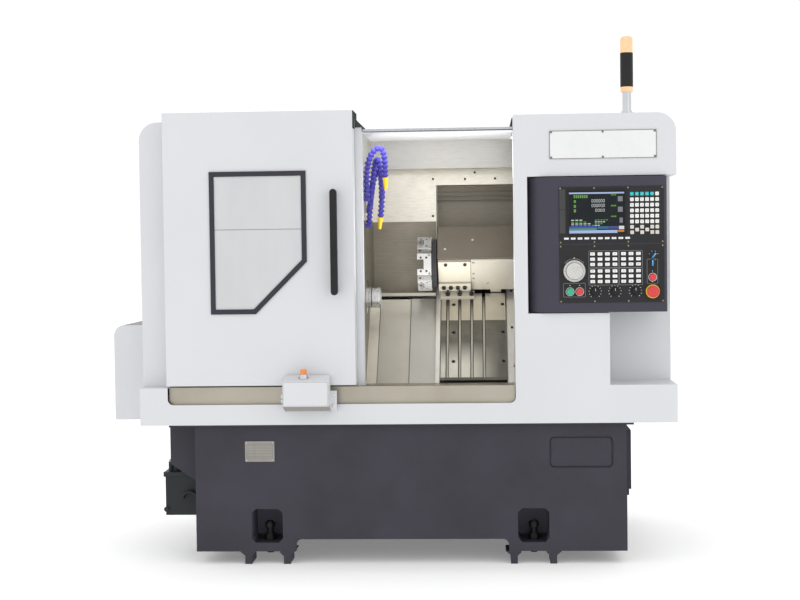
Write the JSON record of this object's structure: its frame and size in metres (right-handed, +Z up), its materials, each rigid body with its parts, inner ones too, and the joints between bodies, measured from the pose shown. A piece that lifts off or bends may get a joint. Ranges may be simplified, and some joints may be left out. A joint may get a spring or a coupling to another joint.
{
  "type": "cnc turning lathe",
  "caption": "Slant-bed turning lathe in a pale sheet enclosure on a dark cast base, with a sliding door, a swivelling console, a collet chuck and a tool turret.",
  "frame": {"origin": "middle of the footprint on the floor", "axes": "+X to the operator's right along the spindle, +Y to the back, +Z up"},
  "size_m": [2.03, 1.369, 1.84],
  "materials": {
    "cast_paint": "satin textured paint on cast iron",
    "white_paint": "fine satin paint",
    "dark_paint": "satin",
    "tank_paint": "satin",
    "cream_paint": "satin",
    "console_paint": "satin",
    "stainless": "brushed",
    "stainless_dark": "brushed",
    "bright_steel": "ground",
    "machined_steel": "ground",
    "black_steel": "black oxide",
    "cast_iron_grey": "machined casting",
    "motor_black": "satin",
    "chrome_tube": "polished",
    "belt_rubber": "matt",
    "black_plastic": "fine grain",
    "panel_black": "fine grain",
    "frame_grey": "matt",
    "key_plastic": "satin",
    "green_plastic": "gloss",
    "red_plastic": "gloss",
    "orange_plastic": "gloss",
    "blue_plastic": "gloss",
    "hose_blue": "gloss",
    "nozzle_yellow": "gloss",
    "amber_lens": "translucent",
    "satin_aluminium": "satin",
    "window_glass": "clear laminated",
    "screen_glass": "anti-glare"
  },
  "bodies": {
    "frame": {"base_casting": "cast_paint", "levelling_bolts": "black_steel", "skirt_tray": "white_paint", "front_fascia": "white_paint", "left_casing": "white_paint", "right_casing": "white_paint", "roof_panel": "white_paint", "hood_ends": "dark_paint", "top_rail": "bright_steel", "door_sill": "stainless", "chamber_liner": "stainless", "way_covers": "stainless", "slant_bed": "cast_iron_grey", "z_rails": "bright_steel", "z_drive": "motor_black", "headstock": "cast_iron_grey", "spindle_motor": "motor_black", "drive_belt": "belt_rubber", "side_cover": "white_paint", "coolant_hoses": "hose_blue", "coolant_nozzles": "nozzle_yellow", "lube_tank": "tank_paint", "base_guards": "dark_paint", "electrical_cabinet": "white_paint", "lamp_post": "chrome_tube", "lamp_lens": "amber_lens", "button_box": "white_paint"},
    "motor_shaft": {"motor_pulley": "cast_iron_grey"},
    "spindle": {"spindle_shaft": "bright_steel", "collet_chuck": "bright_steel", "spindle_drive": "cast_iron_grey"},
    "carriage": {"saddle": "machined_steel", "x_drive": "motor_black"},
    "cross_slide": {"t_slot_plate": "machined_steel", "turret_housing": "cream_paint", "slide_cover": "stainless_dark", "clamp_screws": "black_steel"},
    "turret": {"turret_disc": "black_steel", "tool_blocks": "bright_steel"},
    "door": {"door_shell": "white_paint", "door_hanger": "dark_paint", "window_frame": "frame_grey", "window_panes": "window_glass", "door_handle": "black_plastic"},
    "console": {"console_housing": "console_paint", "control_panels": "panel_black", "screen": "screen_glass", "keys": "key_plastic"},
    "wheel": {"handwheel": "satin_aluminium"},
    "start_button": {"green_button": "green_plastic"},
    "halt_button": {"red_button": "red_plastic"},
    "lamp_button": {"lit_button": "red_plastic"},
    "emergency_stop": {"stop_button": "red_plastic"},
    "feed_dial": {"feed_knob": "black_plastic"},
    "rapid_dial": {"rapid_knob": "black_plastic"},
    "speed_dial": {"spindle_knob": "black_plastic"},
    "selector": {"mode_switch": "blue_plastic"},
    "axis_selector": {"axis_switch": "blue_plastic"},
    "box_plunger": {"box_button": "orange_plastic"},
    "cabinet_leaf": {"cabinet_door": "white_paint"}
  },
  "joints": [
    {"name": "door_slide", "type": "slide", "parent": "frame", "child": "door", "axis": [1, 0, 0], "range_m": [0, 0.548]},
    {"name": "spindle_spin", "type": "hinge", "parent": "frame", "child": "spindle", "pos_m": [-0.029, -0.2875, 0.933], "axis": [1, 0, 0], "continuous": true},
    {"name": "motor_spin", "type": "hinge", "parent": "frame", "child": "motor_shaft", "pos_m": [-0.615, -0.1075, 0.67], "axis": [1, 0, 0], "continuous": true},
    {"name": "carriage_slide", "type": "slide", "parent": "frame", "child": "carriage", "axis": [1, 0, 0], "range_m": [0, 0.2]},
    {"name": "cross_slide_travel", "type": "slide", "parent": "carriage", "child": "cross_slide", "axis": [0, 0.7071, 0.7071], "range_m": [0, 0.11]},
    {"name": "turret_index", "type": "hinge", "parent": "cross_slide", "child": "turret", "pos_m": [0.157, -0.16729, 1.05321], "axis": [1, 0, 0], "continuous": true},
    {"name": "console_swing", "type": "hinge", "parent": "frame", "child": "console", "pos_m": [0.58, -0.5245, 1.1], "axis": [0, 0, -1], "range_deg": [0, 60]},
    {"name": "handwheel_turn", "type": "hinge", "parent": "console", "child": "wheel", "pos_m": [0.662, -0.6015, 1.028], "axis": [0, 1, 0], "continuous": true},
    {"name": "start_press", "type": "slide", "parent": "console", "child": "start_button", "axis": [0, 1, 0], "range_m": [0, 0.004], "stiffness_N_per_m": 600},
    {"name": "halt_press", "type": "slide", "parent": "console", "child": "halt_button", "axis": [0, 1, 0], "range_m": [0, 0.004], "stiffness_N_per_m": 600},
    {"name": "lamp_press", "type": "slide", "parent": "console", "child": "lamp_button", "axis": [0, 1, 0], "range_m": [0, 0.004], "stiffness_N_per_m": 600},
    {"name": "stop_press", "type": "slide", "parent": "console", "child": "emergency_stop", "axis": [0, 1, 0], "range_m": [0, 0.005], "stiffness_N_per_m": 600},
    {"name": "feed_turn", "type": "hinge", "parent": "console", "child": "feed_dial", "pos_m": [0.733, -0.6015, 0.956], "axis": [0, 1, 0], "range_deg": [-135, 135]},
    {"name": "rapid_turn", "type": "hinge", "parent": "console", "child": "rapid_dial", "pos_m": [0.801, -0.6015, 0.956], "axis": [0, 1, 0], "range_deg": [-135, 135]},
    {"name": "speed_turn", "type": "hinge", "parent": "console", "child": "speed_dial", "pos_m": [0.871, -0.6015, 0.957], "axis": [0, 1, 0], "range_deg": [-135, 135]},
    {"name": "selector_turn", "type": "hinge", "parent": "console", "child": "selector", "pos_m": [0.929, -0.6015, 1.0525], "axis": [0, 1, 0], "range_deg": [-45, 45]},
    {"name": "axis_turn", "type": "hinge", "parent": "console", "child": "axis_selector", "pos_m": [0.934, -0.6015, 1.079], "axis": [0, 1, 0], "range_deg": [-76, 0]},
    {"name": "box_press", "type": "slide", "parent": "frame", "child": "box_plunger", "axis": [0, 0, -1], "range_m": [0, 0.005], "stiffness_N_per_m": 600},
    {"name": "cabinet_swing", "type": "hinge", "parent": "frame", "child": "cabinet_leaf", "pos_m": [-0.557, 0.6745, 1.07], "axis": [0, 0, 1], "range_deg": [0, 110]}
  ],
  "couplings": [
    {"joint": "motor_spin", "follows": "spindle_spin", "ratio": 1.5}
  ]
}
